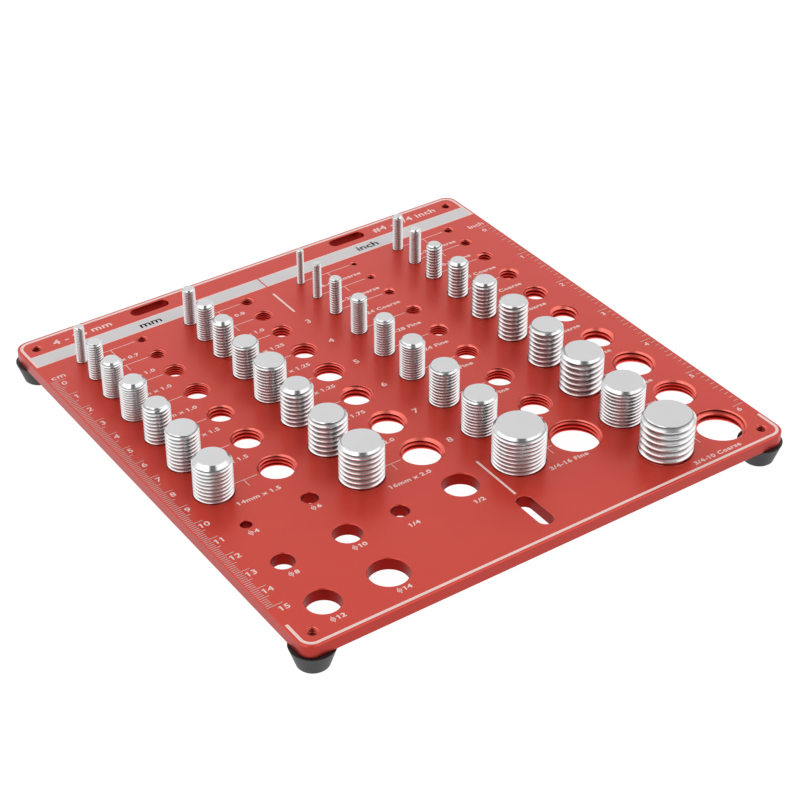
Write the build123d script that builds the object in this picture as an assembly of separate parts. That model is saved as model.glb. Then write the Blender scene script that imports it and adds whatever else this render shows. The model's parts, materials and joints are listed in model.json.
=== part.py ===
from build123d import *

import os
from collections import namedtuple

# Thread checker: a flat plate on four rubber feet. Threaded studs stand in rows on it, each beside a
# tapped hole of the same thread, with plain holes for measuring shanks and slots for hanging it up.
# Sizes are in millimetres. X runs along the header from the metric side to the inch side, Y runs
# towards the header and Z is up. The origin is on the ground, under the middle of the plate.

INCH = 25.4

# Plate
PLATE_THICKNESS = 5.0
PLATE_CORNER_RADIUS = 5.0
PLATE_TOP_CHAMFER = 0.3
PLATE_BOTTOM_CHAMFER = 0.3

# Places across the plate. The metric half and the inch half mirror each other.
SIDE_MARGIN = 17.0
STUD_TO_HOLE = 25.0
PAIR_GAP = 21.0
CENTRE_GAP = 24.5

# Places along the plate, from the front edge to the row nearest the header
FRONT_MARGIN = 16.5
ROW_PITCHES = (24.0, 23.0, 21.0, 20.0, 18.0, 17.0, 16.0, 13.0, 12.0)
HEADER_DEPTH = 23.0

# Studs
STUD_HEIGHT = 15.0
STUD_NARROW_CHAMFER = 0.14
STUD_WIDE_CHAMFER = 0.24
STUD_MIN_CHAMFER = 0.4

# Threads by the standard 60 degree form: how many pitches the core of a screw and the bore of a tapped
# hole lie inside the nominal diameter
CORE_PITCHES = 1.2269
BORE_PITCHES = 1.0825
NUMBER_SIZE_ZERO = 0.060
NUMBER_SIZE_STEP = 0.013

# Holes
HOLE_MOUTH_CLEARANCE = 0.05
STUD_MOUTH_CLEARANCE = 0.3
PLAIN_HOLE_TOP_CHAMFER = 0.3
PLAIN_HOLE_BOTTOM_CHAMFER = 0.2

# Hanging slots: two along the header and one at the front, on the centre line
HEADER_SLOT_LENGTH = 16.0
HEADER_SLOT_WIDTH = 5.0
HEADER_SLOT_FROM_BACK = 5.3
HEADER_SLOT_FROM_SIDE = 55.0
FRONT_SLOT_LENGTH = 17.0
FRONT_SLOT_WIDTH = 6.0
FRONT_SLOT_FROM_FRONT = 15.3
SLOT_CHAMFER = 0.2

# Feet
FOOT_INSET = 6.5
FOOT_TOP_RADIUS = 8.0
FOOT_BOTTOM_RADIUS = 5.6
FOOT_HEIGHT = 8.0
FOOT_EDGE_CHAMFER = 0.5
FOOT_RECESS_DEPTH = 5.4
FOOT_HOLE_CLEARANCE = 0.2

# Foot screws, with pan heads, and the washers moulded into the feet above the heads
SCREW_DIAMETER = 4.0
SCREW_PITCH = 0.7
SCREW_LENGTH = 6.0
SCREW_HEAD_RADIUS = 3.8
SCREW_HEAD_HEIGHT = 2.6
SCREW_HEAD_CHAMFER = 0.8
WASHER_THICKNESS = 0.8
WASHER_CLEARANCE = 0.2
RECESS_CLEARANCE = 0.1

# A few studs are screwed in deeper than the rest, and stand lower by sunk
Thread = namedtuple("Thread", "name diameter pitch wide_chamfer sunk")


def metric(diameter, pitch, wide_chamfer=False, sunk=0.0):
    name = f"m{diameter}x{pitch}".replace(".", "_")
    return Thread(name, float(diameter), pitch, wide_chamfer, sunk)


def numbered(number, threads_per_inch):
    diameter = (NUMBER_SIZE_ZERO + NUMBER_SIZE_STEP * number) * INCH
    return Thread(f"no{number}_{threads_per_inch}", diameter, INCH / threads_per_inch, False, 0.0)


def inch(over, under, threads_per_inch, sunk=0.0):
    name = f"{over}_{under}in_{threads_per_inch}"
    return Thread(name, over / under * INCH, INCH / threads_per_inch, False, sunk)


# Each list starts at the row nearest the header
METRIC_OUTER = [
    metric(4, 0.7),
    metric(6, 1.0),
    metric(8, 1.0, sunk=0.5),
    metric(10, 1.0),
    metric(10, 1.5, wide_chamfer=True),
    metric(12, 1.5),
    metric(14, 1.5, wide_chamfer=True),
]
METRIC_INNER = [
    metric(5, 0.8),
    metric(7, 1.0),
    metric(8, 1.25, wide_chamfer=True),
    metric(10, 1.25, sunk=1.3),
    metric(12, 1.25),
    metric(12, 1.75, wide_chamfer=True),
    metric(14, 2.0, sunk=0.9),
    metric(16, 2.0),
]
INCH_INNER = [
    numbered(4, 40),
    numbered(6, 32),
    numbered(10, 24),
    inch(1, 4, 28),
    inch(5, 16, 24),
    inch(3, 8, 24),
    inch(7, 16, 20),
    inch(1, 2, 20),
    inch(3, 4, 16),
]
INCH_OUTER = [
    numbered(8, 32),
    numbered(10, 32),
    inch(1, 4, 20, sunk=0.7),
    inch(5, 16, 18),
    inch(3, 8, 16),
    inch(7, 16, 14),
    inch(1, 2, 13),
    inch(5, 8, 11),
    inch(5, 8, 18),
    inch(3, 4, 10),
]

FOOT_THREAD = metric(SCREW_DIAMETER, SCREW_PITCH)

# Places from the sizes above
OUTER_STUD = SIDE_MARGIN
OUTER_HOLE = OUTER_STUD + STUD_TO_HOLE
INNER_STUD = OUTER_HOLE + PAIR_GAP
INNER_HOLE = INNER_STUD + STUD_TO_HOLE
PLATE_WIDTH = 2 * INNER_HOLE + CENTRE_GAP
PLATE_DEPTH = FRONT_MARGIN + sum(ROW_PITCHES) + HEADER_DEPTH
PLATE_BOTTOM = FOOT_HEIGHT
PLATE_TOP = PLATE_BOTTOM + PLATE_THICKNESS
STUD_TOP = PLATE_TOP + STUD_HEIGHT

# Rows from the header to the front, as distances from the front edge
ROWS = [FRONT_MARGIN + sum(ROW_PITCHES[:count]) for count in range(len(ROW_PITCHES), -1, -1)]

# Plain holes stand in pairs, on the rows that the threads of their column leave free
METRIC_PLAIN = [(4.0, 6.0), (8.0, 10.0), (12.0, 14.0)]
INCH_PLAIN = [(INCH / 4, INCH / 2)]

# Studs stand on the outer side of their hole in the metric half, and on its inner side in the inch half
COLUMNS = [
    (OUTER_STUD, OUTER_HOLE, METRIC_OUTER, METRIC_PLAIN),
    (INNER_STUD, INNER_HOLE, METRIC_INNER, INCH_PLAIN),
    (PLATE_WIDTH - INNER_HOLE, PLATE_WIDTH - INNER_STUD, INCH_INNER, []),
    (PLATE_WIDTH - OUTER_HOLE, PLATE_WIDTH - OUTER_STUD, INCH_OUTER, []),
]


def at(from_left, from_front, height=0.0):
    return Pos(from_left - PLATE_WIDTH / 2, from_front - PLATE_DEPTH / 2, height)


def turned(outline):
    """A solid turned about the Z axis from its outline, given as (radius, height) points."""
    points = [(radius, 0, height) for radius, height in outline]
    return revolve(make_face(Polyline(*points, close=True)), Axis.Z)


def core_radius(thread):
    return (thread.diameter - CORE_PITCHES * thread.pitch) / 2


def bore_radius(thread):
    return (thread.diameter - BORE_PITCHES * thread.pitch) / 2


def hole_cutter(radius, top_radius, bottom_radius=None):
    """What a drill takes out of the plate, with a countersink at the top face and, if given, one below."""
    lower = [(radius, PLATE_BOTTOM)]
    if bottom_radius is not None:
        lower = [(bottom_radius, PLATE_BOTTOM), (radius, PLATE_BOTTOM + bottom_radius - radius)]
    upper = [(radius, PLATE_TOP - top_radius + radius), (top_radius, PLATE_TOP)]
    return turned([(0, PLATE_BOTTOM), *lower, *upper, (0, PLATE_TOP)])


def tapped_cutter(thread):
    mouth = thread.diameter / 2 + HOLE_MOUTH_CLEARANCE
    return hole_cutter(bore_radius(thread), mouth, mouth)


def stud_seat_cutter(thread):
    mouth = thread.diameter / 2 + STUD_MOUTH_CLEARANCE
    return hole_cutter(bore_radius(thread), mouth)


def plain_cutter(diameter):
    radius = diameter / 2
    return hole_cutter(radius, radius + PLAIN_HOLE_TOP_CHAMFER, radius + PLAIN_HOLE_BOTTOM_CHAMFER)


def foot_places():
    for from_left in (FOOT_INSET, PLATE_WIDTH - FOOT_INSET):
        for from_front in (FOOT_INSET, PLATE_DEPTH - FOOT_INSET):
            yield from_left, from_front


def plate_blank():
    """The plate with its slots, before the round holes."""
    header_slot = SlotOverall(HEADER_SLOT_LENGTH, HEADER_SLOT_WIDTH)
    front_slot = SlotOverall(FRONT_SLOT_LENGTH, FRONT_SLOT_WIDTH, rotation=90)
    header_y = PLATE_DEPTH - HEADER_SLOT_FROM_BACK
    outline = RectangleRounded(PLATE_WIDTH, PLATE_DEPTH, PLATE_CORNER_RADIUS)
    outline -= at(HEADER_SLOT_FROM_SIDE, header_y) * header_slot
    outline -= at(PLATE_WIDTH - HEADER_SLOT_FROM_SIDE, header_y) * header_slot
    outline -= at(PLATE_WIDTH / 2, FRONT_SLOT_FROM_FRONT) * front_slot
    blank = Pos(0, 0, PLATE_BOTTOM) * extrude(outline, PLATE_THICKNESS)
    for end, outer_chamfer in ((-1, PLATE_TOP_CHAMFER), (0, PLATE_BOTTOM_CHAMFER)):
        rim = blank.faces().sort_by(Axis.Z)[end].outer_wire().edges()
        blank = chamfer(rim, outer_chamfer)
        slot_rims = [wire.edges() for wire in blank.faces().sort_by(Axis.Z)[end].inner_wires()]
        blank = chamfer([edge for edges in slot_rims for edge in edges], SLOT_CHAMFER)
    return blank


def plate():
    cutters = []
    for stud_x, hole_x, threads, plain_pairs in COLUMNS:
        for thread, row in zip(threads, ROWS):
            cutters.append(at(stud_x, row) * stud_seat_cutter(thread))
            cutters.append(at(hole_x, row) * tapped_cutter(thread))
        for diameters, row in zip(plain_pairs, ROWS[len(threads):]):
            for diameter, from_left in zip(diameters, (stud_x, hole_x)):
                cutters.append(at(from_left, row) * plain_cutter(diameter))
    for place in foot_places():
        cutters.append(at(*place) * tapped_cutter(FOOT_THREAD))
    return plate_blank() - cutters


def stud(thread):
    """A gauge stud. Its thread stands on the plate's face, and its core goes on down to the underside."""
    radius = thread.diameter / 2
    share = STUD_WIDE_CHAMFER if thread.wide_chamfer else STUD_NARROW_CHAMFER
    edge = max(share * radius, STUD_MIN_CHAMFER)
    core = core_radius(thread)
    top = STUD_TOP - thread.sunk
    return turned(
        [
            (0, PLATE_BOTTOM),
            (core, PLATE_BOTTOM),
            (core, PLATE_TOP),
            (radius, PLATE_TOP),
            (radius, top - edge),
            (radius - edge, top),
            (0, top),
        ]
    )


def foot():
    """A tapered rubber foot with a recess for the screw's head and its washer."""
    recess = SCREW_HEAD_RADIUS + RECESS_CLEARANCE
    bore = SCREW_DIAMETER / 2 + FOOT_HOLE_CLEARANCE
    return turned(
        [
            (recess, 0),
            (FOOT_BOTTOM_RADIUS - FOOT_EDGE_CHAMFER, 0),
            (FOOT_BOTTOM_RADIUS, FOOT_EDGE_CHAMFER),
            (FOOT_TOP_RADIUS, FOOT_HEIGHT),
            (bore, FOOT_HEIGHT),
            (bore, FOOT_RECESS_DEPTH),
            (recess, FOOT_RECESS_DEPTH),
        ]
    )


def foot_washer():
    inner = SCREW_DIAMETER / 2 + WASHER_CLEARANCE
    ring = Circle(SCREW_HEAD_RADIUS) - Circle(inner)
    return Pos(0, 0, FOOT_RECESS_DEPTH - WASHER_THICKNESS) * extrude(ring, WASHER_THICKNESS)


def foot_screw():
    """A pan head screw. Its shank is full size in the foot and at its core where it is in the plate."""
    head_top = FOOT_RECESS_DEPTH - WASHER_THICKNESS
    head_bottom = head_top - SCREW_HEAD_HEIGHT
    core = core_radius(FOOT_THREAD)
    return turned(
        [
            (0, head_bottom),
            (SCREW_HEAD_RADIUS - SCREW_HEAD_CHAMFER, head_bottom),
            (SCREW_HEAD_RADIUS, head_bottom + SCREW_HEAD_CHAMFER),
            (SCREW_HEAD_RADIUS, head_top),
            (SCREW_DIAMETER / 2, head_top),
            (SCREW_DIAMETER / 2, PLATE_BOTTOM),
            (core, PLATE_BOTTOM),
            (core, head_top + SCREW_LENGTH),
            (0, head_top + SCREW_LENGTH),
        ]
    )


def save(name, *solids):
    export_step(Compound(children=list(solids)), f"parts/{name}.step")


os.makedirs("parts", exist_ok=True)

save("plate", plate())
for stud_x, _, threads, _ in COLUMNS:
    for thread, row in zip(threads, ROWS):
        save(f"stud_{thread.name}", at(stud_x, row) * stud(thread))
for name, place in zip(("front_left", "back_left", "front_right", "back_right"), foot_places()):
    save(f"foot_{name}", at(*place) * foot())
save("foot_washers", *[at(*place) * foot_washer() for place in foot_places()])
save("foot_screws", *[at(*place) * foot_screw() for place in foot_places()])
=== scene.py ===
import json
import math
from collections import namedtuple

import bmesh
import bpy
import numpy as np
from mathutils import Matrix, Vector
from mathutils.geometry import delaunay_2d_cdt


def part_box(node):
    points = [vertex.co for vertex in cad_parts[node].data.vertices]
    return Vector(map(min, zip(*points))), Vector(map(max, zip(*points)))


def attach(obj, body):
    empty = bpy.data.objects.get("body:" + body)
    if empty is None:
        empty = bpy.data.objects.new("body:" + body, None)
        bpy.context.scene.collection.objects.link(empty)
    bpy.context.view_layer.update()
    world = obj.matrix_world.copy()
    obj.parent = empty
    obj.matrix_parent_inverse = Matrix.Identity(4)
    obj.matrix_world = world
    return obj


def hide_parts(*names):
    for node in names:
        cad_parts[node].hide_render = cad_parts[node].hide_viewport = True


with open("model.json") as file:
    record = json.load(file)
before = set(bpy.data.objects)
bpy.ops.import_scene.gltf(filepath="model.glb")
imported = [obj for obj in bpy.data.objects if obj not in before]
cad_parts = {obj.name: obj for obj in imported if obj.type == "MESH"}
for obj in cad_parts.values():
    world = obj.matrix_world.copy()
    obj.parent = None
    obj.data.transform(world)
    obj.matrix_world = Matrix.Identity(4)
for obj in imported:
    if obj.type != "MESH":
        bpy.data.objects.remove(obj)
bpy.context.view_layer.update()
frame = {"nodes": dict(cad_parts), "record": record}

# The thread checker's looks: cut threads on every stud and in every tapped hole, the plate's etched
# rulers, lines and sizes, its anodised and machined finishes, and the studio. Named sizes are in
# millimetres, and places on the plate are measured from its left and front edges, as on a drawing.
# Blender's objects, and the values read from the frame, are in metres.
MM = 0.001
INCH = 25.4

PLATE_LOW, PLATE_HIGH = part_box("plate")
PLATE_WIDTH = (PLATE_HIGH.x - PLATE_LOW.x) / MM
PLATE_DEPTH = (PLATE_HIGH.y - PLATE_LOW.y) / MM
PLATE_BOTTOM = PLATE_LOW.z
PLATE_TOP = PLATE_HIGH.z

# Plate edges and slots, as in the part's source
CORNER_RADIUS = 5.0
TOP_CHAMFER = 0.3
BOTTOM_CHAMFER = 0.3
SLOT_CHAMFER = 0.2
HEADER_SLOT = (16.0, 5.0)
HEADER_SLOT_FROM_SIDE = 55.0
HEADER_SLOT_FROM_BACK = 5.3
FRONT_SLOT = (17.0, 6.0)
FRONT_SLOT_FROM_FRONT = 15.3
PLAIN_TOP_CHAMFER = 0.3
PLAIN_BOTTOM_CHAMFER = 0.2
TAPPED_MOUTH_CLEARANCE = 0.05
SEAT_MOUTH_CLEARANCE = 0.3
FOOT_THREAD = (4.0, 0.7)
CORNERS = ("front_left", "front_right", "back_left", "back_right")

# Pan heads of the foot screws, with a cross recess
SCREW_HEAD_RADIUS = 3.8
SCREW_HEAD_HEIGHT = 2.6
SCREW_HEAD_ROUNDING = 0.8
RECESS_REACH = 2.1
RECESS_HALF_WIDTH = 0.6
RECESS_DEPTH = 1.4
RECESS_TAPER = 0.6
HEAD_EDGE_STEPS = 4

# The 60 degree thread form, in pitches
OUTER_DEPTH = 0.61343
INNER_DEPTH = 0.54127
FLANK_SLOPE = math.tan(math.radians(30))
OUTER_CREST = 1 / 8
INNER_CREST = 1 / 4
ROOT_ROUNDING = 0.035

# Chamfers at the ends of the smaller studs, as shares of their radius. The rest follow the solids.
SMALL_STUD_RADIUS = 4.9
SMALL_CHAMFER = 0.23
WIDE_CHAMFER = 0.31
WIDE_ENDED = ("m7x1_0", "m8x1_0", "m8x1_25", "m10x1_0", "no8_32", "no10_32", "1_4in_20", "5_16in_18")

# How finely round things are divided. A full circle has a whole number of SEGMENT_GROUPs.
SEGMENT = 0.75
SEGMENT_GROUP = 8
FEWEST_SEGMENTS = 32
CORNER_SEGMENTS = 10
SHARP_ANGLE = math.radians(28)

# In metres, the difference and the decimals that heights and places are told apart by
SAME_HEIGHT = 1e-7
PLACE_DECIMALS = 5

# Asks the triangulation for what lies inside its loops
INSIDE_LOOPS = 1

# Attributes that the materials read
GROOVE = "groove_depth"
TURNED = "turned_radius"

# A stud's thread, with its lengths and its place in metres
Thread = namedtuple("Thread", "node size label pitch radius x y")

# Threads per inch of the coarse series. Every other inch thread here is a fine one.
COARSE = {
    "no4": 40, "no6": 32, "no8": 32, "no10": 24, "1_4in": 20, "5_16in": 18,
    "3_8in": 16, "7_16in": 14, "1_2in": 13, "5_8in": 11, "3_4in": 10,
}


def read_thread(node):
    """A stud's thread, from its node's name, such as stud_m14x1_5 or stud_3_4in_16, and from its box."""
    low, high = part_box(node)
    name = node.removeprefix("stud_")
    if name.startswith("m"):
        diameter, pitch = name[1:].replace("_", ".").split("x")
        label = f"{diameter}mm x {pitch}"
        pitch = float(pitch)
    else:
        size, per_inch = name.rsplit("_", 1)
        series = "Coarse" if COARSE[size] == int(per_inch) else "Fine"
        label = size.removeprefix("no").removesuffix("in").replace("_", "/") + f"-{per_inch} {series}"
        pitch = INCH / int(per_inch)
    return Thread(
        node=node,
        size=name,
        label=label,
        pitch=pitch * MM,
        radius=(high.x - low.x) / 2,
        x=(low.x + high.x) / 2,
        y=(low.y + high.y) / 2,
    )


THREADS = [read_thread(node) for node in frame["nodes"] if node.startswith("stud_")]
MOUNTS = {mount["name"]: mount for mount in frame["record"]["mounts"]}


def distinct(places):
    return sorted({round(place, PLACE_DECIMALS) for place in places})


def column_at(place):
    """The threads of one column, from the back to the front."""
    column = [thread for thread in THREADS if round(thread.x, PLACE_DECIMALS) == place]
    return sorted(column, key=lambda thread: -thread.y)


COLUMNS = [column_at(place) for place in distinct(thread.x for thread in THREADS)]


def on_plate(from_left, from_front):
    """A place on the plate, from millimetres to the frame's metres."""
    return PLATE_LOW.x + from_left * MM, PLATE_LOW.y + from_front * MM


def from_plate(x, y):
    """A place in the frame's metres, as millimetres from the plate's left and front edges."""
    return (x - PLATE_LOW.x) / MM, (y - PLATE_LOW.y) / MM


def segments_for(radius):
    groups = round(math.tau * radius / MM / SEGMENT / SEGMENT_GROUP)
    return max(FEWEST_SEGMENTS, SEGMENT_GROUP * groups)


class Shape:
    """The points and faces of one closed piece, gathered loop by loop. finish picks each face's material.
    depths says how far down in a thread's groove each point lies, from 0 at its crest to 1, and radii how
    far it lies from the axis that it was turned about."""

    def __init__(self):
        self.points = []
        self.depths = []
        self.radii = {}
        self.faces = []
        self.finishes = []

    def loop(self, points, depths=None):
        start = len(self.points)
        self.points.extend(points)
        self.depths.extend([0.0] * len(points) if depths is None else depths)
        return list(range(start, len(self.points)))

    def add(self, faces, finish=0):
        self.faces.extend(faces)
        self.finishes.extend([finish] * len(faces))

    def bridge(self, first, second, finish=0):
        """Quads between two closed loops with as many points."""
        turned_first = first[1:] + first[:1]
        turned_second = second[1:] + second[:1]
        self.add(list(zip(first, turned_first, turned_second, second)), finish)

    def stack(self, loops, finish=0):
        for first, second in zip(loops, loops[1:]):
            self.bridge(first, second, finish)

    def disc(self, rim, centre, finish=0):
        """A flat round face from a rim to its centre, with its radius kept for turning marks."""
        middle = self.loop([centre])[0]
        for point in rim:
            self.radii[point] = math.dist(self.points[point], centre)
        self.add([(first, second, middle) for first, second in zip(rim, rim[1:] + rim[:1])], finish)

    def fill(self, outer, holes, finish=0):
        """A flat level face inside the loop outer, without the loops in holes."""
        ids = [point for loop in [outer, *holes] for point in loop]
        place = {point: count for count, point in enumerate(ids)}
        flat = [Vector(self.points[point][:2]) for point in ids]
        rings = [[place[point] for point in loop] for loop in [outer, *holes]]
        _, _, faces, sources, _, inside = delaunay_2d_cdt(flat, [], rings, INSIDE_LOOPS, 0, True)
        kept = [face for face, within in zip(faces, inside) if within == [0]]
        self.add([[ids[sources[corner][0]] for corner in face] for face in kept], finish)

    def build(self, name, materials):
        mesh = bpy.data.meshes.new(name)
        mesh.from_pydata([tuple(point) for point in self.points], [], [list(face) for face in self.faces])
        for material in materials:
            mesh.materials.append(material)
        mesh.polygons.foreach_set("material_index", self.finishes)
        work = bmesh.new()
        work.from_mesh(mesh)
        bmesh.ops.recalc_face_normals(work, faces=work.faces)
        work.to_mesh(mesh)
        work.free()
        mesh.polygons.foreach_set("use_smooth", [True] * len(mesh.polygons))
        mesh.set_sharp_from_angle(angle=SHARP_ANGLE)
        if any(self.depths):
            mesh.attributes.new(GROOVE, "FLOAT", "POINT").data.foreach_set("value", self.depths)
        if self.radii:
            radii = [self.radii.get(point, 0.0) for point in range(len(self.points))]
            mesh.attributes.new(TURNED, "FLOAT", "POINT").data.foreach_set("value", radii)
        piece = bpy.data.objects.new(name, mesh)
        bpy.context.scene.collection.objects.link(piece)
        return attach(piece, "root")


def circle(x, y, radius, height, segments):
    angles = [math.tau * step / segments for step in range(segments)]
    return [(x + radius * math.cos(angle), y + radius * math.sin(angle), height) for angle in angles]


def outer_profile(radius, pitch):
    """One pitch of a screw's thread, as (share of the pitch, radius) points, with a hollow root."""
    depth = OUTER_DEPTH * pitch
    flank = OUTER_DEPTH * FLANK_SLOPE
    root = 1 - OUTER_CREST - 2 * flank
    shallow = radius - depth + ROOT_ROUNDING * pitch
    return [
        (0.0, shallow),
        (root / 2, radius - depth),
        (root, shallow),
        (root + flank, radius),
        (1 - flank, radius),
    ]


def inner_profile(radius, pitch):
    """One pitch of a tapped hole's thread, as (share of the pitch, radius) points."""
    depth = INNER_DEPTH * pitch
    flank = INNER_DEPTH * FLANK_SLOPE
    return [
        (0.0, radius - depth),
        (INNER_CREST, radius - depth),
        (INNER_CREST + flank, radius),
        (1 - flank, radius),
    ]


def cone(radius, height, slope):
    """A 45 degree cone with this radius at this height, as its (radius at height 0, slope). The slope is 1
    where it widens upwards and -1 where it narrows."""
    return radius - slope * height, slope


def join_columns(shape, ids, rows_per_turn, parts):
    """Joins each column of points to the following one, and the last to the first, one turn up. Points
    that share an id leave a triangle or nothing. parts are (mask, finish) pairs."""
    last = np.full(rows_per_turn, ids[0, -1])
    following = np.concatenate([ids[1:], [np.concatenate([ids[0, rows_per_turn:], last])]])
    a, b = ids[:, :-1].ravel(), ids[:, 1:].ravel()
    d, c = following[:, :-1].ravel(), following[:, 1:].ravel()
    left_open, right_open = a != b, c != d
    for part, finish in parts:
        shape.add(np.stack([a, d, c, b], axis=1)[part & left_open & right_open].tolist(), finish)
        shape.add(np.stack([a, d, c], axis=1)[part & right_open & ~left_open].tolist(), finish)
        shape.add(np.stack([a, d, b], axis=1)[part & left_open & ~right_open].tolist(), finish)


def threaded_wall(shape, place, pitch, profile, cones, limit, low, high, segments, finishes=(0, 0, 0)):
    """A right-hand helical wall between two heights, cut short by cones. limit is np.minimum for an outer
    thread and np.maximum for an inner one. finishes are those of its grooves, its crests and its cones.
    Returns the loops at both ends."""
    # The wall's rows at each angle: the points of the profile, with a turn to spare at both ends, and the
    # places where it crosses a cone
    shares, radii = np.array(profile).T
    turns = np.arange(-1, math.ceil((high - low) / pitch) + 2)
    rise = np.arange(segments)[:, None] / segments * pitch
    knots = low + (turns[:, None] + shares).ravel() * pitch + rise
    knot_radii = np.tile(radii, len(turns))
    crossings = []
    for base, slope in cones:
        over = knot_radii - (base + slope * knots)
        share = np.clip(over[:, :-1] / (over[:, :-1] - over[:, 1:]), 0, 1)
        crossings.append(knots[:, :-1] + share * np.diff(knots, axis=1))
    rows = np.sort(np.concatenate([knots, *crossings], axis=1), axis=1)
    rows_per_turn = len(profile) * (1 + len(cones))

    def thread_and_wall(levels):
        thread = np.interp((levels - low - rise) / pitch, shares, radii, period=1)
        wall = thread
        for base, slope in cones:
            wall = limit(wall, base + slope * levels)
        return thread, wall

    heights = np.clip(rows, low, high)
    thread, wall = thread_and_wall(heights)
    crest = radii.max() if limit is np.minimum else radii.min()
    depths = np.where(wall == thread, np.abs(thread - crest) / np.ptp(radii), 0)
    middle_thread, middle_wall = thread_and_wall((heights[:, :-1] + heights[:, 1:]) / 2)
    on_cone = (middle_thread != middle_wall).ravel()
    on_crest = np.isclose(middle_thread, crest).ravel() & ~on_cone
    angles = math.tau * np.arange(segments)[:, None] / segments
    points = np.stack([place[0] + wall * np.cos(angles), place[1] + wall * np.sin(angles), heights], axis=2)

    # Rows that fall on one another share a point
    fresh = np.concatenate([np.ones((segments, 1), bool), np.diff(heights, axis=1) > SAME_HEIGHT], axis=1)
    ids = len(shape.points) + np.cumsum(fresh.ravel()).reshape(fresh.shape) - 1
    shape.loop(points[fresh].tolist(), depths[fresh].tolist())
    join_columns(shape, ids, rows_per_turn, zip((~on_crest & ~on_cone, on_crest, on_cone), finishes))
    return ids[:, 0].tolist(), ids[:, -1].tolist()


# A stud's finishes, in the order of its materials
CUT_SIDE, FACED_END = range(2)


def end_radius(thread):
    """The radius of a stud's flat end: that of its CAD solid, or less on a small stud."""
    low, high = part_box(thread.node)
    centre = (low + high) / 2
    points = [vertex.co for vertex in frame["nodes"][thread.node].data.vertices]
    cad_radius = max((point - centre).xy.length for point in points if high.z - point.z < SAME_HEIGHT)
    if thread.size in WIDE_ENDED:
        return min(cad_radius, thread.radius * (1 - WIDE_CHAMFER))
    if thread.radius < SMALL_STUD_RADIUS * MM:
        return min(cad_radius, thread.radius * (1 - SMALL_CHAMFER))
    return cad_radius


def threaded_stud(thread, materials):
    """A stud with its thread cut from the plate's face to its chamfered end, and a plain core below."""
    shape = Shape()
    stud_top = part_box(thread.node)[1].z
    chamfer = cone(end_radius(thread), stud_top, -1)
    segments = segments_for(thread.radius)
    profile = outer_profile(thread.radius, thread.pitch)
    place = (thread.x, thread.y)
    foot, end = threaded_wall(
        shape, place, thread.pitch, profile, [chamfer], np.minimum, PLATE_TOP, stud_top, segments
    )
    core = thread.radius - OUTER_DEPTH * thread.pitch
    shoulder = shape.loop(circle(*place, core, PLATE_TOP, segments))
    base = shape.loop(circle(*place, core, PLATE_BOTTOM, segments))
    shape.stack([foot, shoulder, base], CUT_SIDE)
    shape.add([base], CUT_SIDE)
    shape.disc(end, (*place, stud_top), FACED_END)
    piece = shape.build(thread.node.replace("stud_", "threaded_stud_"), materials)
    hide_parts(thread.node)


def round_outline(inset, height):
    """The plate's outline with round corners, moved inwards by inset."""
    radius = (CORNER_RADIUS - inset) * MM
    points = []
    for quarter, (side_x, side_y) in enumerate([(1, 1), (-1, 1), (-1, -1), (1, -1)]):
        centre_x = side_x * (PLATE_WIDTH / 2 - CORNER_RADIUS) * MM
        centre_y = side_y * (PLATE_DEPTH / 2 - CORNER_RADIUS) * MM
        for step in range(CORNER_SEGMENTS + 1):
            angle = math.pi / 2 * (quarter + step / CORNER_SEGMENTS)
            x = centre_x + radius * math.cos(angle)
            y = centre_y + radius * math.sin(angle)
            points.append((x, y, height))
    return points


def slot_outline(place, size, upright, grow, height):
    """A slot with round ends, grown by grow all round."""
    length, width = size
    reach = (length - width) / 2 * MM
    radius = (width / 2 + grow) * MM
    points = []
    for end in (0, 1):
        for step in range(2 * CORNER_SEGMENTS + 1):
            angle = math.pi * (end + step / (2 * CORNER_SEGMENTS)) - math.pi / 2
            along = (reach if end == 0 else -reach) + radius * math.cos(angle)
            across = radius * math.sin(angle)
            offset_x, offset_y = (-across, along) if upright else (along, across)
            points.append((place[0] + offset_x, place[1] + offset_y, height))
    return points


# The plate's finishes, in the order of its materials
# The chamfer finish is a lighter copy of the anodised red, a painted highlight. The wall and side finishes
# are darker copies, painted shade. The grooves' finish has both.
FACE, CHAMFER, WALL, GROOVES, SIDE = range(5)


class Plate(Shape):
    """The plate while its holes are cut. It keeps each hole's loops at the underside and at the face."""

    def __init__(self):
        super().__init__()
        self.lower_rims = []
        self.upper_rims = []

    def opening(self, lower, upper):
        self.lower_rims.append(lower)
        self.upper_rims.append(upper)

    def hole(self, loops):
        """A hole from its loops, upwards. The last two are the chamfer at the plate's face."""
        self.stack(loops[:-1], WALL)
        self.bridge(loops[-2], loops[-1], FACE)
        self.opening(loops[0], loops[-1])

    def turned_hole(self, x, y, outline):
        """A round hole from its (radius, height) points, upwards."""
        segments = segments_for(outline[-1][0])
        self.hole([self.loop(circle(x, y, radius, height, segments)) for radius, height in outline])

    def tapped_hole(self, x, y, radius, pitch):
        mouth = radius + TAPPED_MOUTH_CLEARANCE * MM
        cones = [cone(mouth, PLATE_TOP, 1), cone(mouth, PLATE_BOTTOM, -1)]
        profile = inner_profile(radius, pitch)
        # Crests of a tapped thread take the bore's darker red, as painted shade. Flanks take the thread's
        # painted highlight and shade, and the mouth cones take the chamfer's painted highlight.
        finishes = (GROOVES, WALL, CHAMFER)
        segments = segments_for(mouth)
        lower, upper = threaded_wall(
            self, (x, y), pitch, profile, cones, np.maximum, PLATE_BOTTOM, PLATE_TOP, segments, finishes
        )
        self.opening(lower, upper)


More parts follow.
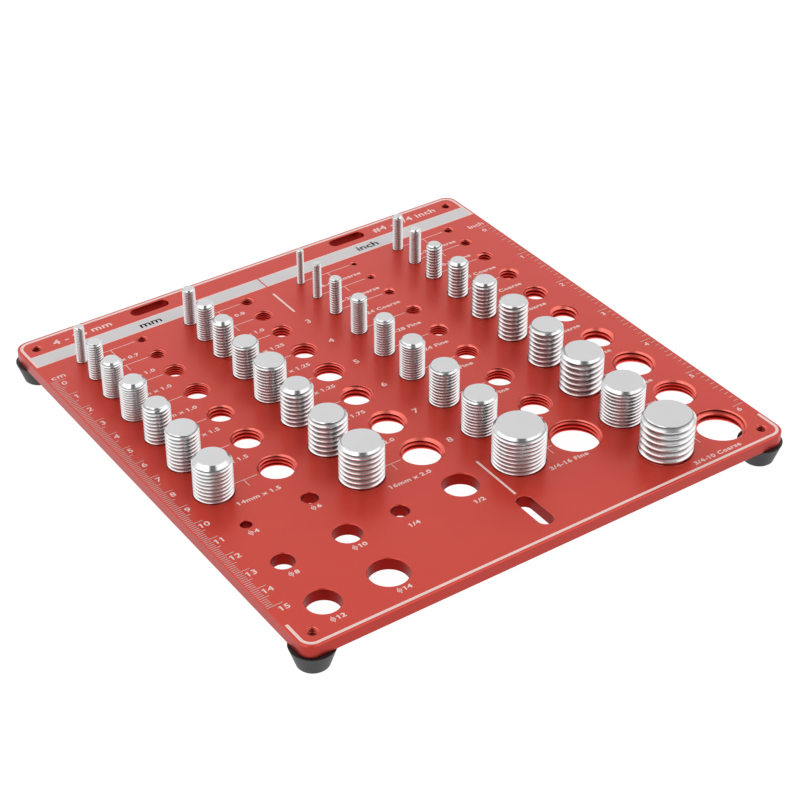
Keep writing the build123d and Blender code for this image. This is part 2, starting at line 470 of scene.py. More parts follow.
def cut_rim(plate):
    """The plate's side, with its chamfers. Returns the loops at the underside and at the face."""
    levels = [
        (BOTTOM_CHAMFER, PLATE_BOTTOM),
        (0, PLATE_BOTTOM + BOTTOM_CHAMFER * MM),
        (0, PLATE_TOP - TOP_CHAMFER * MM),
        (TOP_CHAMFER, PLATE_TOP),
    ]
    loops = [plate.loop(round_outline(inset, height)) for inset, height in levels]
    plate.stack(loops[:-1], SIDE)
    plate.bridge(loops[-2], loops[-1], FACE)
    return loops[0], loops[-1]


def cut_thread_pair(plate, thread):
    """A tapped hole, and the seat that its stud stands in."""
    hole_x, hole_y, _ = MOUNTS[f"tapped_{thread.size}"]["pos_m"]
    plate.tapped_hole(hole_x, hole_y, thread.radius, thread.pitch)
    bore = thread.radius - INNER_DEPTH * thread.pitch
    mouth = thread.radius + SEAT_MOUTH_CLEARANCE * MM
    seat = [(bore, PLATE_BOTTOM), (bore, PLATE_TOP - mouth + bore), (mouth, PLATE_TOP)]
    plate.turned_hole(thread.x, thread.y, seat)


def cut_plain_hole(plate, mount):
    radius = mount["dims"]["r_mm"] * MM
    lower, upper = PLAIN_BOTTOM_CHAMFER * MM, PLAIN_TOP_CHAMFER * MM
    outline = [
        (radius + lower, PLATE_BOTTOM),
        (radius, PLATE_BOTTOM + lower),
        (radius, PLATE_TOP - upper),
        (radius + upper, PLATE_TOP),
    ]
    hole_x, hole_y, _ = mount["pos_m"]
    plate.turned_hole(hole_x, hole_y, outline)


def cut_slots(plate):
    """Two slots along the header and an upright one at the front."""
    header_y = PLATE_DEPTH - HEADER_SLOT_FROM_BACK
    slots = [
        (on_plate(HEADER_SLOT_FROM_SIDE, header_y), HEADER_SLOT, False),
        (on_plate(PLATE_WIDTH - HEADER_SLOT_FROM_SIDE, header_y), HEADER_SLOT, False),
        (on_plate(PLATE_WIDTH / 2, FRONT_SLOT_FROM_FRONT), FRONT_SLOT, True),
    ]
    chamfer = SLOT_CHAMFER * MM
    levels = [
        (SLOT_CHAMFER, PLATE_BOTTOM),
        (0, PLATE_BOTTOM + chamfer),
        (0, PLATE_TOP - chamfer),
        (SLOT_CHAMFER, PLATE_TOP),
    ]
    for place, size, upright in slots:
        outlines = [slot_outline(place, size, upright, grow, height) for grow, height in levels]
        plate.hole([plate.loop(outline) for outline in outlines])


def foot_centre(corner):
    low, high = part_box(f"foot_{corner}")
    return (low.x + high.x) / 2, (low.y + high.y) / 2


def checker_plate(materials):
    """The whole plate as one closed piece: its rim, tapped holes, stud seats, plain holes and slots."""
    plate = Plate()
    underside, face = cut_rim(plate)
    for thread in THREADS:
        cut_thread_pair(plate, thread)
    for mount in MOUNTS.values():
        if mount["kind"] == "bore":
            cut_plain_hole(plate, mount)
    for corner in CORNERS:
        diameter, pitch = FOOT_THREAD
        plate.tapped_hole(*foot_centre(corner), diameter / 2 * MM, pitch * MM)
    cut_slots(plate)
    plate.fill(underside, plate.lower_rims, FACE)
    plate.fill(face, plate.upper_rims, FACE)
    piece = plate.build("checker_plate", materials)
    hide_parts("plate")


def cross_outline(x, y, scale, height):
    """The outline of a cross recess, with its arms along X and Y."""
    reach, half = RECESS_REACH * scale * MM, RECESS_HALF_WIDTH * scale * MM
    arm = [(reach, -half), (reach, half), (half, half)]
    points = []
    for turn_x, turn_y in [(1, 0), (0, 1), (-1, 0), (0, -1)]:
        for along, across in arm:
            point_x = x + along * turn_x - across * turn_y
            point_y = y + along * turn_y + across * turn_x
            points.append((point_x, point_y, height))
    return points


def screw_outline(low, high):
    """Half of a foot screw's outline, as (radius, height) points upwards from the flat of its head."""
    diameter, pitch = FOOT_THREAD
    shank = diameter / 2 * MM
    core = shank - OUTER_DEPTH * pitch * MM
    head = SCREW_HEAD_RADIUS * MM
    head_top = low + SCREW_HEAD_HEIGHT * MM
    rounding = SCREW_HEAD_ROUNDING * MM
    outline = []
    for step in range(HEAD_EDGE_STEPS + 1):
        turn = math.pi / 2 * step / HEAD_EDGE_STEPS
        outline.append((head - rounding * (1 - math.sin(turn)), low + rounding * (1 - math.cos(turn))))
    shoulders = [(head, head_top), (shank, head_top), (shank, PLATE_BOTTOM), (core, PLATE_BOTTOM)]
    return [*outline, *shoulders, (core, high)]


def foot_screws(material):
    """The four pan head screws in the feet, with their shanks as in the CAD."""
    shape = Shape()
    low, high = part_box("foot_screws")
    outline = screw_outline(low.z, high.z)
    segments = segments_for(SCREW_HEAD_RADIUS * MM)
    for corner in CORNERS:
        x, y = foot_centre(corner)
        loops = [shape.loop(circle(x, y, radius, height, segments)) for radius, height in outline]
        shape.stack(loops)
        shape.add([loops[-1]])
        mouth = shape.loop(cross_outline(x, y, 1.0, low.z))
        floor = shape.loop(cross_outline(x, y, RECESS_TAPER, low.z + RECESS_DEPTH * MM))
        shape.bridge(mouth, floor)
        shape.add([floor])
        shape.fill(loops[0], [mouth])
    piece = shape.build("pan_head_screws", [material])
    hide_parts("foot_screws")


# Materials. A thread's colour darkens, as painted shade, from one share of its groove's depth to another.
# Scales are counts per metre, and the depths of grain are in metres.
GROOVE_SHADE = (0.35, 0.95)
CLOUD_SCALE = 60.0
CLOUD_DETAIL = 4.0
GRAIN_DETAIL = 2.0
RING_DETAIL = 3.0
COAT_ROUGHNESS = 0.25


def new_material(name, metallic, roughness):
    material = bpy.data.materials.new(name)
    material.use_nodes = True
    shader = material.node_tree.nodes["Principled BSDF"]
    shader.inputs["Metallic"].default_value = metallic
    shader.inputs["Roughness"].default_value = roughness
    return material, material.node_tree.nodes, material.node_tree.links, shader


def noise(nodes, links, scale, detail):
    """Noise in the object's own metres, so that its grain has a real size."""
    place = nodes.new("ShaderNodeTexCoord")
    texture = nodes.new("ShaderNodeTexNoise")
    texture.inputs["Scale"].default_value = scale
    texture.inputs["Detail"].default_value = detail
    links.new(place.outputs["Object"], texture.inputs["Vector"])
    return texture.outputs["Fac"]


def turning_marks(nodes, links, scale):
    """Fine uneven rings about the axis of a turned end."""
    radius = nodes.new("ShaderNodeAttribute")
    radius.attribute_name = TURNED
    rings = nodes.new("ShaderNodeTexNoise")
    rings.noise_dimensions = "1D"
    rings.inputs["Scale"].default_value = scale
    rings.inputs["Detail"].default_value = RING_DETAIL
    links.new(radius.outputs["Fac"], rings.inputs["W"])
    return rings.outputs["Fac"]


def spread(nodes, links, source, low, high, source_range=(0, 1)):
    """Turns a value in source_range into one from low to high."""
    node = nodes.new("ShaderNodeMapRange")
    node.inputs["From Min"].default_value = source_range[0]
    node.inputs["From Max"].default_value = source_range[1]
    node.inputs["To Min"].default_value = low
    node.inputs["To Max"].default_value = high
    links.new(source, node.inputs["Value"])
    return node.outputs["Result"]


def feed(links, socket, value):
    """Gives a socket a number, a colour, or the output of another node."""
    if isinstance(value, bpy.types.NodeSocket):
        links.new(value, socket)
    elif isinstance(value, tuple):
        socket.default_value = (*value, 1)
    else:
        socket.default_value = value


def mix(nodes, links, factor, first, second, kind="FLOAT"):
    """Mixes two values, or with kind RGBA two colours. Each may be the output of another node."""
    node = nodes.new("ShaderNodeMix")
    node.data_type = kind
    links.new(factor, node.inputs["Factor"])
    feed(links, node.inputs["A"], first)
    feed(links, node.inputs["B"], second)
    return node.outputs["Result"]


def textured(name, metallic, roughness, colours, grain, groove=None, coat=0.0, rings=False):
    """A finish with clouded colour, uneven gloss and a fine grain. roughness and colours are pairs, and
    grain is a (scale, depth) pair. With rings, the grain is that of a turned end. groove is the (colour,
    roughness) that the finish turns to towards the bottom of a thread, and its darker colour there is
    painted shade."""
    material, nodes, links, shader = new_material(name, metallic, roughness[0])
    scale, depth = grain
    clouds = noise(nodes, links, CLOUD_SCALE, CLOUD_DETAIL)
    texture = turning_marks(nodes, links, scale) if rings else noise(nodes, links, scale, GRAIN_DETAIL)
    colour = mix(nodes, links, clouds, *colours, kind="RGBA")
    gloss = spread(nodes, links, texture, *roughness)
    # Painted shade: the colour darkens towards the bottom of a thread's groove, by the groove's depth
    if groove:
        painted_groove_shade_colour, groove_roughness = groove
        fall = nodes.new("ShaderNodeAttribute")
        fall.attribute_name = GROOVE
        shade = spread(nodes, links, fall.outputs["Fac"], 0, 1, GROOVE_SHADE)
        gloss = mix(nodes, links, shade, gloss, groove_roughness)
        colour = mix(nodes, links, shade, colour, painted_groove_shade_colour, kind="RGBA")
    links.new(colour, shader.inputs["Base Color"])
    links.new(gloss, shader.inputs["Roughness"])
    shader.inputs["Coat Weight"].default_value = coat
    shader.inputs["Coat Roughness"].default_value = COAT_ROUGHNESS
    bump = nodes.new("ShaderNodeBump")
    bump.inputs["Distance"].default_value = depth
    links.new(texture, bump.inputs["Height"])
    links.new(bump.outputs["Normal"], shader.inputs["Normal"])
    return material


# Grains, as (scale, depth) pairs
BLASTED = (5000, 0.00001)
SMOOTH_BLASTED = (4000, 0.00001)
CUT = (3000, 0.000005)
BRIGHT_CUT = (3000, 0.000006)
TURNED_END = (3500, 0.000006)
ETCHED = (5000, 0.000004)
BRUSHED = (5000, 0.000006)
PLATED = (2500, 0.00001)
MOULDED = (1500, 0.00004)

ANODISED = textured(
    "red_anodised_blasted", metallic=0.5, roughness=(0.36, 0.44), grain=BLASTED, coat=0.6,
    colours=[(0.64, 0.036, 0.016), (0.71, 0.044, 0.020)],
)
# Mouths of the tapped holes: a lighter coral copy of the anodised red, a painted highlight
ANODISED_CHAMFER_PAINTED_HIGHLIGHT = textured(
    "red_anodised_chamfer_painted_highlight", metallic=1.0, roughness=(0.34, 0.44), grain=CUT, coat=0.5,
    colours=[(0.95, 0.17, 0.13), (0.98, 0.20, 0.15)],
)
# Hole, seat and slot walls, and tapped crests: a much darker copy of the anodised red, painted shade for
# the dim light inside the holes
ANODISED_BORE_PAINTED_SHADE = textured(
    "red_anodised_bore_painted_shade", metallic=1.0, roughness=(0.36, 0.46), grain=CUT,
    colours=[(0.23, 0.008, 0.005), (0.27, 0.010, 0.007)],
)
# Tapped thread flanks: a lighter, pinker copy of the anodised red, a painted highlight, darkening to
# painted shade at the root
ANODISED_THREAD_PAINTED_HIGHLIGHT_AND_SHADE = textured(
    "red_anodised_thread_painted_highlight_and_shade", metallic=1.0, roughness=(0.24, 0.34), grain=CUT,
    colours=[(0.80, 0.105, 0.082), (0.87, 0.125, 0.10)], groove=((0.10, 0.006, 0.004), 0.4),
)
# Plate sides: a real smoother blast, with a darker copy of the anodised red as painted shade
ANODISED_SIDE_PAINTED_SHADE = textured(
    "red_anodised_side_painted_shade", metallic=0.9, roughness=(0.36, 0.44), grain=SMOOTH_BLASTED, coat=0.28,
    colours=[(0.42, 0.028, 0.019), (0.48, 0.034, 0.023)],
)
# Stud threads: a bright cut finish whose colour darkens towards the root as painted shade
STUD_SIDE = textured(
    "bright_cut_metal", metallic=1.0, roughness=(0.14, 0.24), grain=BRIGHT_CUT,
    colours=[(0.75, 0.75, 0.76), (0.82, 0.82, 0.82)], groove=((0.26, 0.25, 0.25), 0.45),
)
STUD_END = textured(
    "satin_faced_metal", metallic=1.0, roughness=(0.38, 0.48), grain=TURNED_END, rings=True,
    colours=[(0.78, 0.78, 0.79), (0.84, 0.84, 0.85)],
)
MARKING = textured(
    "pale_etched_mark", metallic=0.0, roughness=(0.5, 0.6), grain=ETCHED,
    colours=[(0.83, 0.60, 0.56), (0.90, 0.66, 0.62)],
)
FINE_MARKING = textured(
    "fine_etched_mark", metallic=0.0, roughness=(0.5, 0.6), grain=ETCHED,
    colours=[(0.54, 0.42, 0.41), (0.62, 0.48, 0.46)],
)
BAND = textured(
    "bare_silver_band", metallic=0.4, roughness=(0.45, 0.55), grain=BRUSHED,
    colours=[(0.67, 0.64, 0.65), (0.73, 0.70, 0.71)],
)
BAND_LETTER = textured(
    "dark_band_letter", metallic=0.3, roughness=(0.45, 0.55), grain=ETCHED,
    colours=[(0.22, 0.08, 0.10), (0.26, 0.10, 0.12)],
)
RUBBER = textured(
    "moulded_rubber", metallic=0.0, roughness=(0.42, 0.54), grain=MOULDED,
    colours=[(0.008, 0.008, 0.009), (0.015, 0.014, 0.016)],
)
ZINC = textured(
    "zinc_plated_steel", metallic=1.0, roughness=(0.25, 0.35), grain=PLATED,
    colours=[(0.55, 0.55, 0.55), (0.65, 0.65, 0.66)],
)


def finish_carried(node, material):
    """Gives a piece that stays as the CAD made it its finish."""
    materials = frame["nodes"][node].data.materials
    materials.clear()
    materials.append(material)


checker_plate([ANODISED, ANODISED_CHAMFER_PAINTED_HIGHLIGHT, ANODISED_BORE_PAINTED_SHADE, ANODISED_THREAD_PAINTED_HIGHLIGHT_AND_SHADE, ANODISED_SIDE_PAINTED_SHADE])
for thread in THREADS:
    threaded_stud(thread, [STUD_SIDE, STUD_END])
foot_screws(ZINC)
for corner in CORNERS:
    finish_carried(f"foot_{corner}", RUBBER)
finish_carried("foot_washers", ZINC)

# Marks: thin raised films over the plate's face
MARK_RISE = 0.015
MARK_SINK = 0.01
FINE_LINE = 0.26
TICK_LINE = 0.26

# Letters: their cap height as a share of the font's size, and how much wider than the font they are.
# FLAG is the slanting stroke of a figure 1, from its stem's top left corner, in sizes of the font.
CAP_SHARE = 0.7
LETTER_STRETCH = 1.3
LETTER_FINENESS = 3
EVEN_SPACING = 1.0
FLAG = ((0.02, 0.0), (-0.13, -0.12), (-0.13, -0.23), (0.02, -0.13))
DIGIT_WEIGHT = 0.05
LABEL_WEIGHT = 0.075
TITLE_WEIGHT = 0.08

# A line of words, centred from_left, with its foot from_front. spacing is a share of the font's own, and
# weight is how far each stroke grows on both sides.
Words = namedtuple("Words", "text from_left from_front height spacing weight")


def film(shape, outline, finish=0):
    """A thin flat piece over the plate's face, with its outline given in plate millimetres."""
    lower = shape.loop([(*on_plate(*point), PLATE_TOP - MARK_SINK * MM) for point in outline])
    upper = shape.loop([(*on_plate(*point), PLATE_TOP + MARK_RISE * MM) for point in outline])
    shape.bridge(lower, upper, finish)
    shape.add([lower, upper], finish)


def bar(shape, left, front, right, back, finish=0):
    film(shape, [(left, front), (right, front), (right, back), (left, back)], finish)


def ribbon(shape, path, width):
    """A line of constant width along a path, in straight lengths that meet at their corners."""
    path = np.array(path)
    along = np.gradient(path, axis=0)
    along /= np.linalg.norm(along, axis=1)[:, None]
    across = np.stack([-along[:, 1], along[:, 0]], axis=1) * width / 2
    left, right = (path + across).tolist(), (path - across).tolist()
    for step in range(len(path) - 1):
        film(shape, [left[step], right[step], right[step + 1], left[step + 1]])


def marked(shape, name, *materials):
    """Builds a shape as a mark on the plate."""
    shape.build(name, materials)


def flag_ones(work, mesh, size, half_height):
    """Gives each figure 1 its slanting stroke, which the font leaves out. The stems are the parts of the
    mesh that have a material number of their own, above 0."""
    stems = {}
    for polygon in mesh.polygons:
        stems.setdefault(polygon.material_index, set()).update(polygon.vertices)
    for number, points in stems.items():
        if number > 0:
            corners = [mesh.vertices[point].co for point in points]
            left = min(corner.x for corner in corners)
            top = max(corner.y for corner in corners)
            outline = [(left + along * size, top + up * size) for along, up in FLAG]
            lower = [work.verts.new((*point, -half_height)) for point in outline]
            upper = [work.verts.new((*point, half_height)) for point in outline]
            work.faces.new(lower)
            work.faces.new(upper[::-1])
            for sides in zip(lower, upper, upper[1:] + upper[:1], lower[1:] + lower[:1]):
                work.faces.new(sides)


def letter_curve(words, material):
    """Words as a curve, in which each figure 1 has a material number of its own, above 0."""
    curve = bpy.data.curves.new("words", "FONT")
    curve.body = words.text
    curve.size = words.height * MM / CAP_SHARE
    curve.space_character = words.spacing
    curve.align_x = "CENTER"
    curve.resolution_u = LETTER_FINENESS
    curve.offset = words.weight * MM
    curve.extrude = (MARK_RISE + MARK_SINK) / 2 * MM
    curve.materials.append(material)
    ones = [place for place, letter in enumerate(words.text) if letter == "1"]
    for number, place in enumerate(ones, start=1):
        curve.materials.append(material)
        curve.body_format[place].material_index = number
    return curve


def raised_words(words, material):
    """The mesh of one line of raised letters, in its place on the plate."""
    curve = letter_curve(words, material)
    letters = bpy.data.objects.new("words", curve)
    bpy.context.scene.collection.objects.link(letters)
    bpy.context.view_layer.update()
    depsgraph = bpy.context.evaluated_depsgraph_get()
    mesh = bpy.data.meshes.new_from_object(letters.evaluated_get(depsgraph))
    work = bmesh.new()
    work.from_mesh(mesh)
    flag_ones(work, mesh, curve.size, curve.extrude)
    x, y = on_plate(words.from_left, words.from_front)
    place = Matrix.Translation((x, y, PLATE_TOP + (MARK_RISE - MARK_SINK) / 2 * MM))
    work.transform(place @ Matrix.Diagonal((LETTER_STRETCH, 1, 1, 1)))
    for face in work.faces:
        face.material_index = 0
    work.to_mesh(mesh)
    work.free()
    bpy.data.objects.remove(letters)
    bpy.data.curves.remove(curve)
    return mesh


def lettering(name, lines, material):
    """One piece of raised letters, from its lines of Words."""
    work = bmesh.new()
    for words in lines:
        mesh = raised_words(words, material)
        work.from_mesh(mesh)
        bpy.data.meshes.remove(mesh)
    mesh = bpy.data.meshes.new(name)
    work.to_mesh(mesh)
    work.free()
    mesh.materials.append(material)
    piece = bpy.data.objects.new(name, mesh)
    bpy.context.scene.collection.objects.link(piece)
    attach(piece, "root")


# Rulers. Zero is a place from the front edge, and ticks run from tick_start to one of tick_ends, for
# tenths, halves and whole units, both measured from the ruler's own edge of the plate.
TENTHS = 10
Ruler = namedtuple(
    "Ruler", "name unit count zero tick_start tick_ends on_right title digit_height digit_drop digit_places"
)
RULERS = (
    Ruler(
        name="centimetre",
        unit=10.0,
        count=15,
        zero=173.45,
        tick_start=0.45,
        tick_ends=(3.1, 4.4, 6.2),
        on_right=False,
        title=Words("cm", 4.8, 174.7, 2.5, 1.1, DIGIT_WEIGHT),
        digit_height=2.25,
        digit_drop=3.45,
        digit_places=(4.9, 5.4),
    ),
    Ruler(
        name="inch",
        unit=INCH,
        count=6,
        zero=174.44,
        tick_start=1.15,
        tick_ends=(3.0, 4.1, 6.0),
        on_right=True,
        title=Words("Inch", 194.8, 176.0, 2.4, EVEN_SPACING, DIGIT_WEIGHT),
        digit_height=2.0,
        digit_drop=3.35,
        digit_places=(195.5,),
    ),
)


def ruler_ticks(ruler):
    """Ticks at every tenth of a unit, from zero towards the front."""
    shape = Shape()
    tenth, half, whole = ruler.tick_ends
    for mark in range(ruler.count * TENTHS + 1):
        end = tenth
        if mark % TENTHS == 0:
            end = whole
        elif mark % (TENTHS // 2) == 0:
            end = half
        left, right = ruler.tick_start, end
        if ruler.on_right:
            left, right = PLATE_WIDTH - end, PLATE_WIDTH - ruler.tick_start
        place = ruler.zero - mark * ruler.unit / TENTHS
        bar(shape, left, place - TICK_LINE / 2, right, place + TICK_LINE / 2)
    marked(shape, f"{ruler.name}_ticks", FINE_MARKING)


def ruler_numbers(ruler):
    """The ruler's title and its numbers. digit_places are for numbers of one digit, of two, and so on."""
    lines = [ruler.title]
    for number in range(ruler.count + 1):
        text = str(number)
        front = ruler.zero - number * ruler.unit - ruler.digit_drop
        centre = ruler.digit_places[len(text) - 1]
        lines.append(Words(text, centre, front, ruler.digit_height, EVEN_SPACING, DIGIT_WEIGHT))
    lettering(f"{ruler.name}_numbers", lines, MARKING)


# Leader lines from stud to hole, each with a stem towards its size. Places and drops go by column, and
# drops by row within it: how far the foot of the size lies in front of the row.
STEM_PLACES = (28.7, 75.0, 124.8, 170.8)
STEM_LENGTH = 4.0
LINE_CLEARANCE = 1.0
LABEL_PLACES = (28.4, 75.4, 126.4, 171.4)
LABEL_DROPS = (
    (9.0, 9.3, 8.6, 9.4, 8.5, 9.8, 11.2),
    (7.0, 9.1, 9.0, 9.5, 9.4, 10.9, 10.5, 11.7),
    (7.9, 9.1, 9.0, 9.5, 8.9, 7.8, 8.5, 8.5, 11.3),
    (9.5, 9.6, 9.5, 9.1, 8.9, 10.6, 10.1, 12.7, 12.7, 13.1),
)
LABEL_HEIGHT = 1.8
LABEL_SPACING = 1.08


def thread_marks():
    """The leader line and the size of each thread."""
    leaders = Shape()
    sizes = []
    half = FINE_LINE / 2
    for column, stem, label_place, drops in zip(COLUMNS, STEM_PLACES, LABEL_PLACES, LABEL_DROPS):
        for thread, drop in zip(column, drops):
            stud_left, row = from_plate(thread.x, thread.y)
            hole_x, hole_y, _ = MOUNTS[f"tapped_{thread.size}"]["pos_m"]
            hole_left, _ = from_plate(hole_x, hole_y)
            radius = thread.radius / MM
            start = stud_left + radius + SEAT_MOUTH_CLEARANCE
            end = hole_left - radius - LINE_CLEARANCE
            bar(leaders, start, row - half, end, row + half)
            bar(leaders, stem - half, row - STEM_LENGTH, stem + half, row - half)
            sizes.append(
                Words(thread.label, label_place, row - drop, LABEL_HEIGHT, LABEL_SPACING, LABEL_WEIGHT)
            )
    marked(leaders, "leader_lines", MARKING)
    lettering("thread_sizes", sizes, MARKING)


# Sizes beside the plain holes: (size, from left, from front). A size in millimetres has a diameter sign,
# whose left edge is its place, and an inch size is centred on its place.
SIGN_RADIUS = 0.72
SIGN_STROKE = 0.32
SIGN_REACH = 1.45
SIGN_STEPS = 16
SIGN_TO_NUMBER = 2.1
DIGIT_ADVANCE = 0.8
DIAMETERS = (
    ("4", 15.2, 57.7),
    ("6", 39.3, 57.2),
    ("8", 15.0, 32.5),
    ("10", 39.1, 31.9),
    ("12", 14.1, 6.6),
    ("14", 39.0, 6.2),
)
INCH_SIZES = (
    ("1/4", 62.9, 31.3),
    ("1/2", 88.1, 29.1),
)


def diameter_sign(shape, centre_x, centre_y):
    """A ring with an upright stroke through it."""
    ring = []
    for step in range(SIGN_STEPS + 1):
        turn = math.tau * step / SIGN_STEPS
        ring.append((centre_x + SIGN_RADIUS * math.cos(turn), centre_y + SIGN_RADIUS * math.sin(turn)))
    ribbon(shape, ring, SIGN_STROKE)
    half = SIGN_STROKE / 2
    bar(shape, centre_x - half, centre_y - SIGN_REACH, centre_x + half, centre_y + SIGN_REACH)


def plain_hole_marks():
    signs = Shape()
    sizes = [Words(*size, LABEL_HEIGHT, LABEL_SPACING, LABEL_WEIGHT) for size in INCH_SIZES]
    for number, left, front in DIAMETERS:
        diameter_sign(signs, left + SIGN_RADIUS, front + LABEL_HEIGHT / 2)
        centre = left + SIGN_TO_NUMBER + DIGIT_ADVANCE * len(number)
        sizes.append(Words(number, centre, front, LABEL_HEIGHT, EVEN_SPACING, LABEL_WEIGHT))
    marked(signs, "diameter_signs", MARKING)
    lettering("plain_hole_sizes", sizes, MARKING)


# Size ranges in the header, and row numbers down the middle
HEADER_RANGES = (("4 - 16 mm", 25.5, 195.3), ("#4 - 3/4 inch", 173.0, 195.7))
RANGE_HEIGHT = 3.0
RANGE_SPACING = 1.05
ROW_NUMBERS = range(3, 9)
ROW_NUMBER_PLACE = 99.9
ROW_NUMBER_HEIGHT = 2.5


def header_ranges():
    ranges = [Words(*words, RANGE_HEIGHT, RANGE_SPACING, TITLE_WEIGHT) for words in HEADER_RANGES]
    lettering("header_ranges", ranges, MARKING)


def row_numbers():
    """Row numbers, counted from the back, each level with its row."""
    rows = distinct(thread.y for thread in THREADS)
    lines = []
    for number in ROW_NUMBERS:
        _, row = from_plate(0, rows[-number])
        front = row - ROW_NUMBER_HEIGHT / 2
        lines.append(
            Words(str(number), ROW_NUMBER_PLACE, front, ROW_NUMBER_HEIGHT, EVEN_SPACING, DIGIT_WEIGHT)
        )
    lettering("row_numbers", lines, MARKING)


# Border, dividers and header band, with the units of the plate's two halves on it
BORDER_INSET = 1.45
BORDER_WIDTH = 1.1
BORDER_RADIUS = 4.0
FRONT_BORDER_END = 13.6
DIVIDERS = ((99.2, 164.0, 179.6), (100.05, 25.8, 47.9))
DIVIDER_WIDTH = 0.85
BAND_FRONT = 185.2
BAND_BACK = 192.4
BAND_SPLIT = 99.85
BAND_GAP = 0.6
BAND_EDGE = 0.55
BAND_UNITS = (("mm", 50.1, 187.1), ("inch", 149.3, 187.3))
BAND_UNIT_HEIGHT = 3.3


def border_corner(side_x, side_y):
    """A quarter of the border's line, from the side towards the front or back edge."""
    inset = BORDER_INSET + BORDER_RADIUS
    centre_x = inset if side_x < 0 else PLATE_WIDTH - inset
    centre_y = inset if side_y < 0 else PLATE_DEPTH - inset
    points = []
    for step in range(CORNER_SEGMENTS + 1):
        angle = math.pi / 2 * step / CORNER_SEGMENTS
        x = centre_x + side_x * BORDER_RADIUS * math.cos(angle)
        y = centre_y + side_y * BORDER_RADIUS * math.sin(angle)
        points.append((x, y))
    return points


def border():
    """A line round the front corners, and one round the back corners down to the band."""
    shape = Shape()
    for side_y, end in ((-1, FRONT_BORDER_END), (1, BAND_FRONT)):
        left_end = (BORDER_INSET, end)
        right_end = (PLATE_WIDTH - BORDER_INSET, end)
        path = [left_end, *border_corner(-1, side_y), *reversed(border_corner(1, side_y)), right_end]
        ribbon(shape, path, BORDER_WIDTH)
    marked(shape, "border_lines", MARKING)


def dividers():
    shape = Shape()
    for place, front, back in DIVIDERS:
        bar(shape, place - DIVIDER_WIDTH / 2, front, place + DIVIDER_WIDTH / 2, back)
    marked(shape, "divider_lines", MARKING)


def header_band():
    """A pale band in two halves, each with a line along its front and back."""
    shape = Shape()
    field, line = range(2)
    outer = BORDER_INSET + BORDER_WIDTH / 2
    halves = ((outer, BAND_SPLIT - BAND_GAP / 2), (BAND_SPLIT + BAND_GAP / 2, PLATE_WIDTH - outer))
    for left, right in halves:
        bar(shape, left, BAND_FRONT, right, BAND_FRONT + BAND_EDGE, line)
        bar(shape, left, BAND_BACK - BAND_EDGE, right, BAND_BACK, line)
        bar(shape, left, BAND_FRONT + BAND_EDGE, right, BAND_BACK - BAND_EDGE, field)
    marked(shape, "header_band", BAND, MARKING)
    units = [Words(*words, BAND_UNIT_HEIGHT, EVEN_SPACING, TITLE_WEIGHT) for words in BAND_UNITS]
    lettering("band_units", units, BAND_LETTER)


for ruler in RULERS:
    ruler_ticks(ruler)
for ruler in RULERS:
    ruler_numbers(ruler)
thread_marks()
plain_hole_marks()
header_ranges()
row_numbers()
border()
dividers()
header_band()

# Studio: a glowing pale floor, soft light from overhead, and a camera where the photograph was taken from.
# Its places and sizes are in metres, and the lens is in millimetres.
CAMERA_PLACE = (-0.33851, -0.49747, 0.43312)
CAMERA_AZIMUTH = math.radians(-34.623)
CAMERA_ELEVATION = math.radians(35.277)
CAMERA_LENS = 91.19
NEAREST_SEEN = 0.01
FURTHEST_SEEN = 50.0
FLOOR_REACH = 6.0
FLOOR_COLOUR = (0.08, 0.08, 0.08, 1)
FLOOR_ROUGHNESS = 0.9
FLOOR_GLOW = 0.97
WHITE = (1, 1, 1, 1)
SOFT_BOX_PLACE = (-1.15, -0.33, 1.5)
SOFT_BOX_SIZE = 0.6
SOFT_BOX_POWER = 1.0

# The surroundings. Places are parts of a direction's unit length: forward towards the camera's side,
# sideways to its right, or upward. Pairs are the two ends of a soft change.
BACKDROP_LIGHT = (0.84, 0.74)
BACKDROP_REACH = (-0.60, -0.20)
BOX_LIGHT = 1.3
BOX_LOWEST = (0.34, 0.46)
BOX_HINDMOST = (-0.72, -0.58)
GAP_PLACE = 0.10
GAP_HALF_WIDTH = (0.30, 0.22)
GAP_LIGHT = (0.40, 0.13)
GAP_REACH = (0.05, 0.45)


def towards(azimuth, elevation):
    """The direction out to a viewer who stands at this azimuth and elevation."""
    level = math.cos(elevation)
    return Vector((math.sin(azimuth) * level, -math.cos(azimuth) * level, math.sin(elevation)))


def studio_floor():
    material, _, _, shader = new_material("studio_floor", 0.0, FLOOR_ROUGHNESS)
    shader.inputs["Base Color"].default_value = FLOOR_COLOUR
    shader.inputs["Emission Color"].default_value = WHITE
    shader.inputs["Emission Strength"].default_value = FLOOR_GLOW
    mesh = bpy.data.meshes.new("studio_floor")
    sides = [(-1, -1), (1, -1), (1, 1), (-1, 1)]
    mesh.from_pydata([(x * FLOOR_REACH, y * FLOOR_REACH, 0) for x, y in sides], [], [(0, 1, 2, 3)])
    mesh.materials.append(material)
    floor = bpy.data.objects.new("studio_floor", mesh)
    bpy.context.scene.collection.objects.link(floor)


def studio_light():
    light = bpy.data.lights.new("left_soft_box", "AREA")
    light.shape = "SQUARE"
    light.size = SOFT_BOX_SIZE
    light.energy = SOFT_BOX_POWER
    lamp = bpy.data.objects.new("left_soft_box", light)
    lamp.location = SOFT_BOX_PLACE
    lamp.rotation_euler = (-Vector(SOFT_BOX_PLACE)).to_track_quat("-Z", "Y").to_euler()
    bpy.context.scene.collection.objects.link(lamp)


def arithmetic(nodes, links, operation, *values):
    node = nodes.new("ShaderNodeMath")
    node.operation = operation
    for socket, value in zip(node.inputs, values):
        feed(links, socket, value)
    return node.outputs[0]


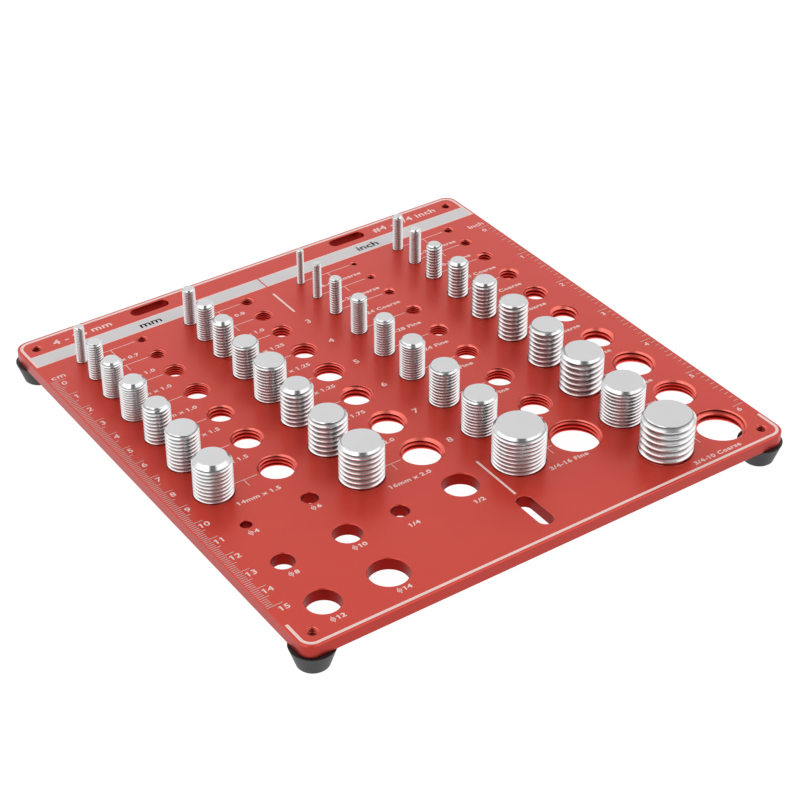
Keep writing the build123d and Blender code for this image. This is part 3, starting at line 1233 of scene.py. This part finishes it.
def studio_world():
    """A backdrop all round, palest behind the object, with large soft boxes to the left and right
    overhead. The gap between them, above the camera, is dark."""
    world = bpy.data.worlds.new("soft_studio")
    world.use_nodes = True
    nodes, links = world.node_tree.nodes, world.node_tree.links
    direction = nodes.new("ShaderNodeTexCoord").outputs["Generated"]

    def share(axis):
        """How far the direction of a ray points along an axis."""
        node = nodes.new("ShaderNodeVectorMath")
        node.operation = "DOT_PRODUCT"
        node.inputs[1].default_value = axis
        links.new(direction, node.inputs[0])
        return node.outputs["Value"]

    forward = share(towards(CAMERA_AZIMUTH, 0))
    sideways = share(towards(CAMERA_AZIMUTH + math.pi / 2, 0))
    upward = share((0, 0, 1))
    off_gap = arithmetic(nodes, links, "SUBTRACT", sideways, GAP_PLACE)
    from_gap = arithmetic(nodes, links, "ABSOLUTE", off_gap)
    in_gap = spread(nodes, links, from_gap, 0, 1, GAP_HALF_WIDTH)
    gap = spread(nodes, links, forward, *GAP_LIGHT, GAP_REACH)
    boxes = mix(nodes, links, in_gap, BOX_LIGHT, gap)
    high_enough = spread(nodes, links, upward, 0, 1, BOX_LOWEST)
    near_enough = spread(nodes, links, forward, 0, 1, BOX_HINDMOST)
    overhead = arithmetic(nodes, links, "MULTIPLY", high_enough, near_enough)
    backdrop = spread(nodes, links, forward, *BACKDROP_LIGHT, BACKDROP_REACH)
    level = mix(nodes, links, overhead, backdrop, boxes)
    nodes["Background"].inputs["Color"].default_value = WHITE
    links.new(level, nodes["Background"].inputs["Strength"])
    bpy.context.scene.world = world


def studio_camera():
    back = towards(CAMERA_AZIMUTH, CAMERA_ELEVATION)
    camera = bpy.data.objects.new("camera", bpy.data.cameras.new("camera"))
    camera.data.lens = CAMERA_LENS
    camera.data.clip_start = NEAREST_SEEN
    camera.data.clip_end = FURTHEST_SEEN
    camera.location = CAMERA_PLACE
    camera.rotation_mode = "QUATERNION"
    camera.rotation_quaternion = (-back).to_track_quat("-Z", "Y")
    bpy.context.scene.collection.objects.link(camera)
    bpy.context.scene.camera = camera


studio_floor()
studio_world()
studio_camera()
studio_light()
bpy.context.scene.view_settings.view_transform = "Standard"
